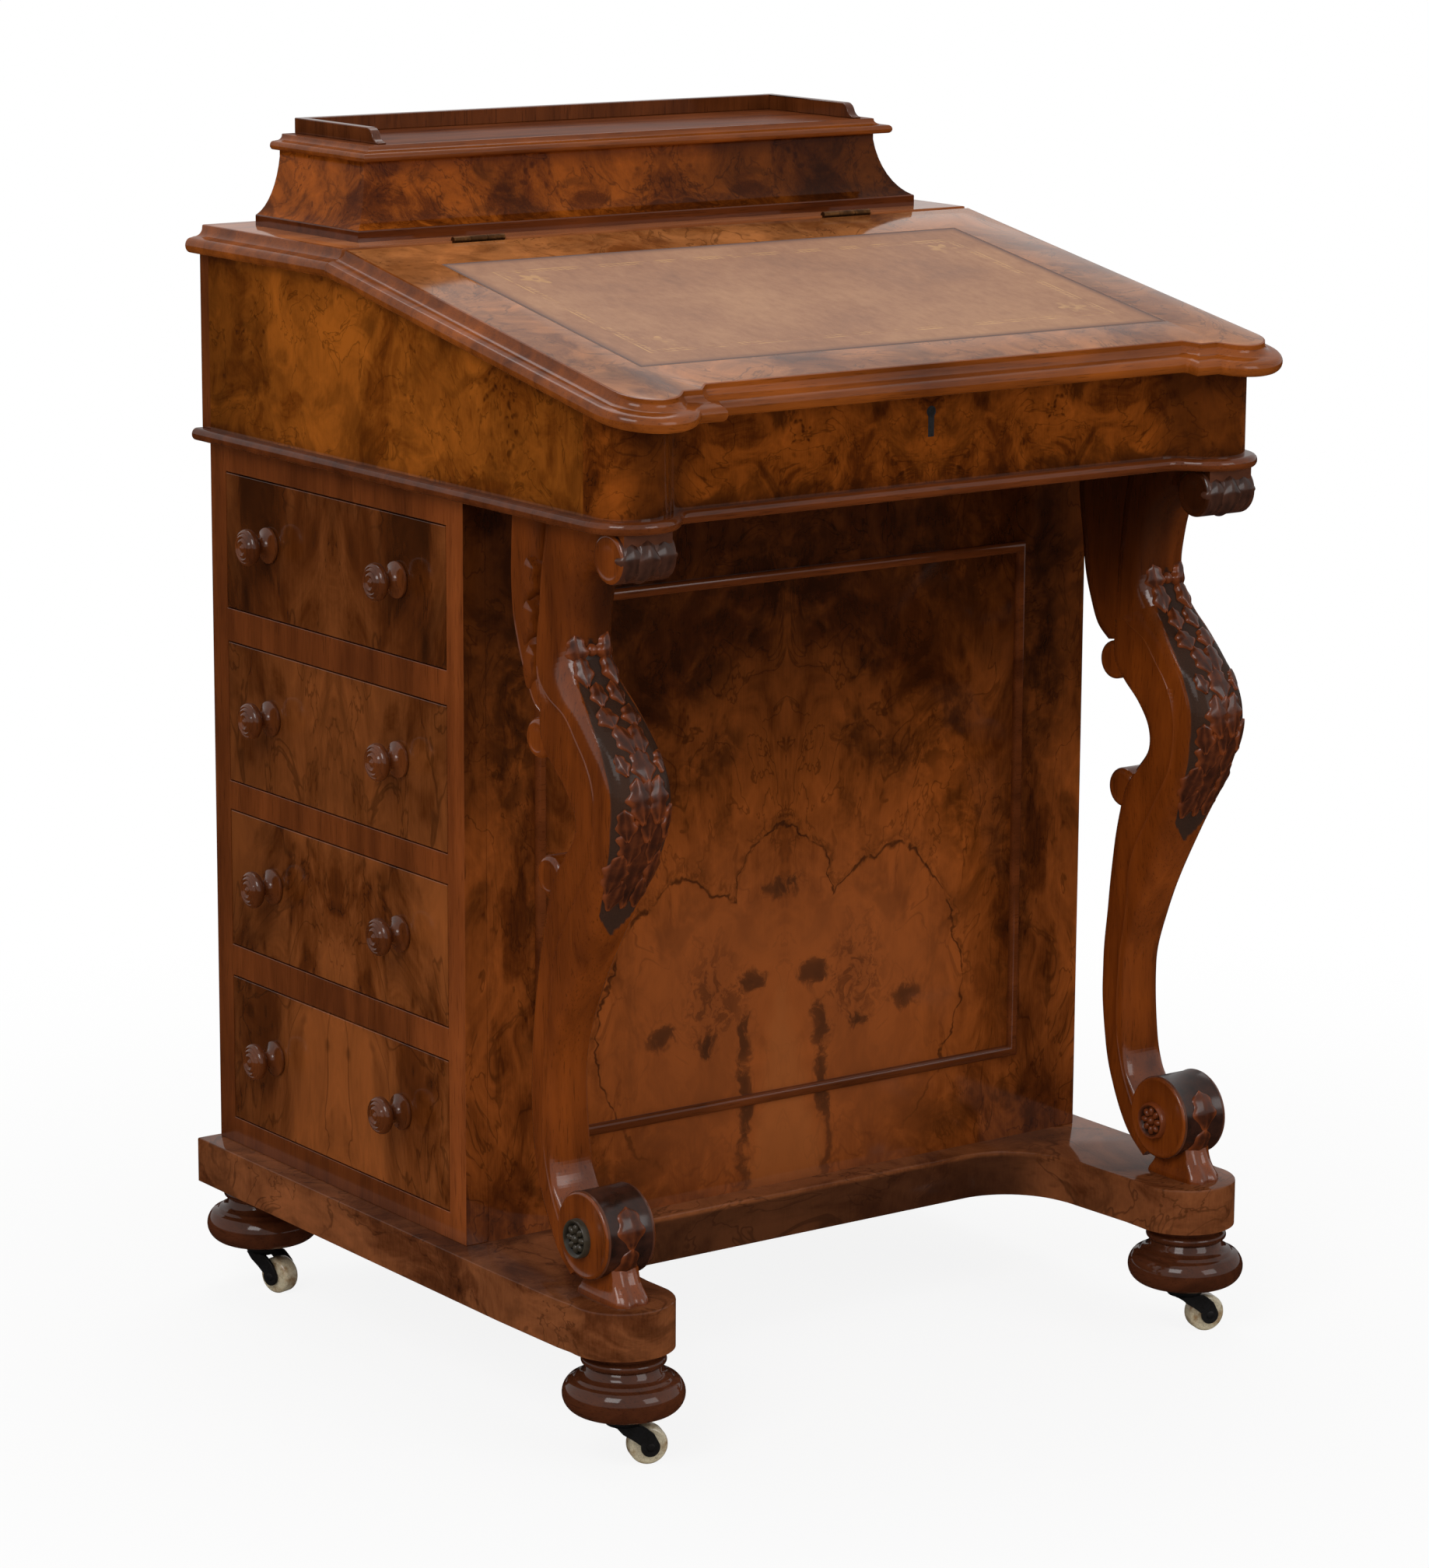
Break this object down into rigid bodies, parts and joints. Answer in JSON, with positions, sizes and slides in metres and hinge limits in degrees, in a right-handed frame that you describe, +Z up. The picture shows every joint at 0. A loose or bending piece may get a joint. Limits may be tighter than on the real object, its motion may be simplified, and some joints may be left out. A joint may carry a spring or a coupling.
{
  "type": "davenport desk",
  "caption": "Small pedestal desk with side drawers, a hinged writing slope on scrolled front supports, a lidded stationery box with gallery, bun feet and castors.",
  "frame": {"origin": "on the floor, under the middle of the bounding box", "axes": "+X to the sitter's right, where the drawers open; +Y from the sitter to the back; +Z up"},
  "size_m": [0.5916, 0.5678, 0.863],
  "materials": {
    "burr_veneer": "French polished burr walnut veneer",
    "solid_walnut": "French polished straight-grained walnut",
    "carved_walnut": "carved and polished walnut, dark in the hollows",
    "turned_walnut": "turned and polished dark walnut",
    "lining_wood": "waxed pale lining wood",
    "skiver_leather": "worn tan leather with a tooled gold border",
    "brass": "aged brass",
    "lock_steel": "worn steel",
    "castor_iron": "blackened iron",
    "castor_ceramic": "glazed cream ceramic"
  },
  "bodies": {
    "carcase": {"base_platform": "burr_veneer", "bun_feet": "turned_walnut", "castor_sockets": "castor_iron", "drawer_opening_frame": "burr_veneer", "drawer_runners": "lining_wood", "dummy_drawer_fronts": "burr_veneer", "dummy_drawer_knobs": "turned_walnut", "front_panel_moulding": "solid_walnut", "level_top": "burr_veneer", "pedestal_back_panel": "solid_walnut", "pedestal_front_panel": "burr_veneer", "pedestal_left_side": "burr_veneer", "scroll_support_left": "carved_walnut", "scroll_support_right": "carved_walnut", "slope_hinge_leaves": "brass", "slope_lock_case": "brass", "stationery_box_back": "solid_walnut", "stationery_box_ends": "burr_veneer", "stationery_box_front": "burr_veneer", "stationery_hinge_leaves": "brass", "stationery_lock_case": "brass", "stationery_partitions": "lining_wood", "stationery_plinth": "solid_walnut", "volute_bosses": "turned_walnut", "writing_box_back": "solid_walnut", "writing_box_bead": "solid_walnut", "writing_box_bottom": "lining_wood", "writing_box_front": "burr_veneer", "writing_box_left_side": "burr_veneer", "writing_box_right_side": "burr_veneer"},
    "writing_slope": {"slope_lid": "burr_veneer", "writing_skiver": "skiver_leather", "slope_lid_hinge_leaves": "brass", "slope_lock_strike": "brass"},
    "paper_box_lid": {"stationery_lid": "burr_veneer", "stationery_gallery": "solid_walnut", "stationery_lid_hinge_leaves": "brass", "stationery_lock_strike": "brass"},
    "drawer_one": {"drawer_one_front": "burr_veneer", "drawer_one_box": "lining_wood", "drawer_one_knobs": "turned_walnut"},
    "drawer_two": {"drawer_two_front": "burr_veneer", "drawer_two_box": "lining_wood", "drawer_two_knobs": "turned_walnut"},
    "drawer_three": {"drawer_three_front": "burr_veneer", "drawer_three_box": "lining_wood", "drawer_three_knobs": "turned_walnut"},
    "drawer_four": {"drawer_four_front": "burr_veneer", "drawer_four_box": "lining_wood", "drawer_four_knobs": "turned_walnut"},
    "castor_front_left": {"castor_horn_front_left": "castor_iron"},
    "castor_front_right": {"castor_horn_front_right": "castor_iron"},
    "castor_rear_left": {"castor_horn_rear_left": "castor_iron"},
    "castor_rear_right": {"castor_horn_rear_right": "castor_iron"},
    "wheel_front_left": {"castor_wheel_front_left": "castor_ceramic"},
    "wheel_front_right": {"castor_wheel_front_right": "castor_ceramic"},
    "wheel_rear_left": {"castor_wheel_rear_left": "castor_ceramic"},
    "wheel_rear_right": {"castor_wheel_rear_right": "castor_ceramic"},
    "slope_bolt": {"slope_lock_bolt": "lock_steel"},
    "paper_box_bolt": {"stationery_lock_bolt": "lock_steel"}
  },
  "joints": [
    {"name": "writing_slope_lift", "type": "hinge", "parent": "carcase", "child": "writing_slope", "pos_m": [0, 0.07875, 0.7884], "axis": [-1, 0, 0], "range_deg": [0, 105]},
    {"name": "paper_box_lid_lift", "type": "hinge", "parent": "carcase", "child": "paper_box_lid", "pos_m": [0, 0.24195, 0.841], "axis": [-1, 0, 0], "range_deg": [0, 95]},
    {"name": "drawer_one_slide", "type": "slide", "parent": "carcase", "child": "drawer_one", "axis": [1, 0, 0], "range_m": [0, 0.3]},
    {"name": "drawer_two_slide", "type": "slide", "parent": "carcase", "child": "drawer_two", "axis": [1, 0, 0], "range_m": [0, 0.3]},
    {"name": "drawer_three_slide", "type": "slide", "parent": "carcase", "child": "drawer_three", "axis": [1, 0, 0], "range_m": [0, 0.3]},
    {"name": "drawer_four_slide", "type": "slide", "parent": "carcase", "child": "drawer_four", "axis": [1, 0, 0], "range_m": [-0.004, 0.3]},
    {"name": "castor_front_left_swivel", "type": "hinge", "parent": "carcase", "child": "castor_front_left", "pos_m": [-0.2468, -0.22605, 0.034], "axis": [0, 0, 1], "continuous": true},
    {"name": "wheel_front_left_spin", "type": "hinge", "parent": "castor_front_left", "child": "wheel_front_left", "pos_m": [-0.23176, -0.23152, 0.0135], "axis": [0.342, 0.9397, 0], "continuous": true},
    {"name": "castor_front_right_swivel", "type": "hinge", "parent": "carcase", "child": "castor_front_right", "pos_m": [0.2468, -0.22605, 0.034], "axis": [0, 0, 1], "continuous": true},
    {"name": "wheel_front_right_spin", "type": "hinge", "parent": "castor_front_right", "child": "wheel_front_right", "pos_m": [0.26226, -0.23019, 0.0135], "axis": [0.2588, 0.9659, 0], "continuous": true},
    {"name": "castor_rear_left_swivel", "type": "hinge", "parent": "carcase", "child": "castor_rear_left", "pos_m": [-0.2468, 0.24275, 0.034], "axis": [0, 0, 1], "continuous": true},
    {"name": "wheel_rear_left_spin", "type": "hinge", "parent": "castor_rear_left", "child": "wheel_rear_left", "pos_m": [-0.24266, 0.22729, 0.0135], "axis": [0.9659, 0.2588, 0], "continuous": true},
    {"name": "castor_rear_right_swivel", "type": "hinge", "parent": "carcase", "child": "castor_rear_right", "pos_m": [0.2468, 0.24275, 0.034], "axis": [0, 0, 1], "continuous": true},
    {"name": "wheel_rear_right_spin", "type": "hinge", "parent": "castor_rear_right", "child": "wheel_rear_right", "pos_m": [0.25906, 0.23247, 0.0135], "axis": [0.6428, 0.766, 0], "continuous": true},
    {"name": "slope_bolt_throw", "type": "slide", "parent": "carcase", "child": "slope_bolt", "axis": [0, 0, 1], "range_m": [0, 0.006]},
    {"name": "paper_box_bolt_throw", "type": "slide", "parent": "carcase", "child": "paper_box_bolt", "axis": [0, 0, 1], "range_m": [0, 0.006]}
  ]
}
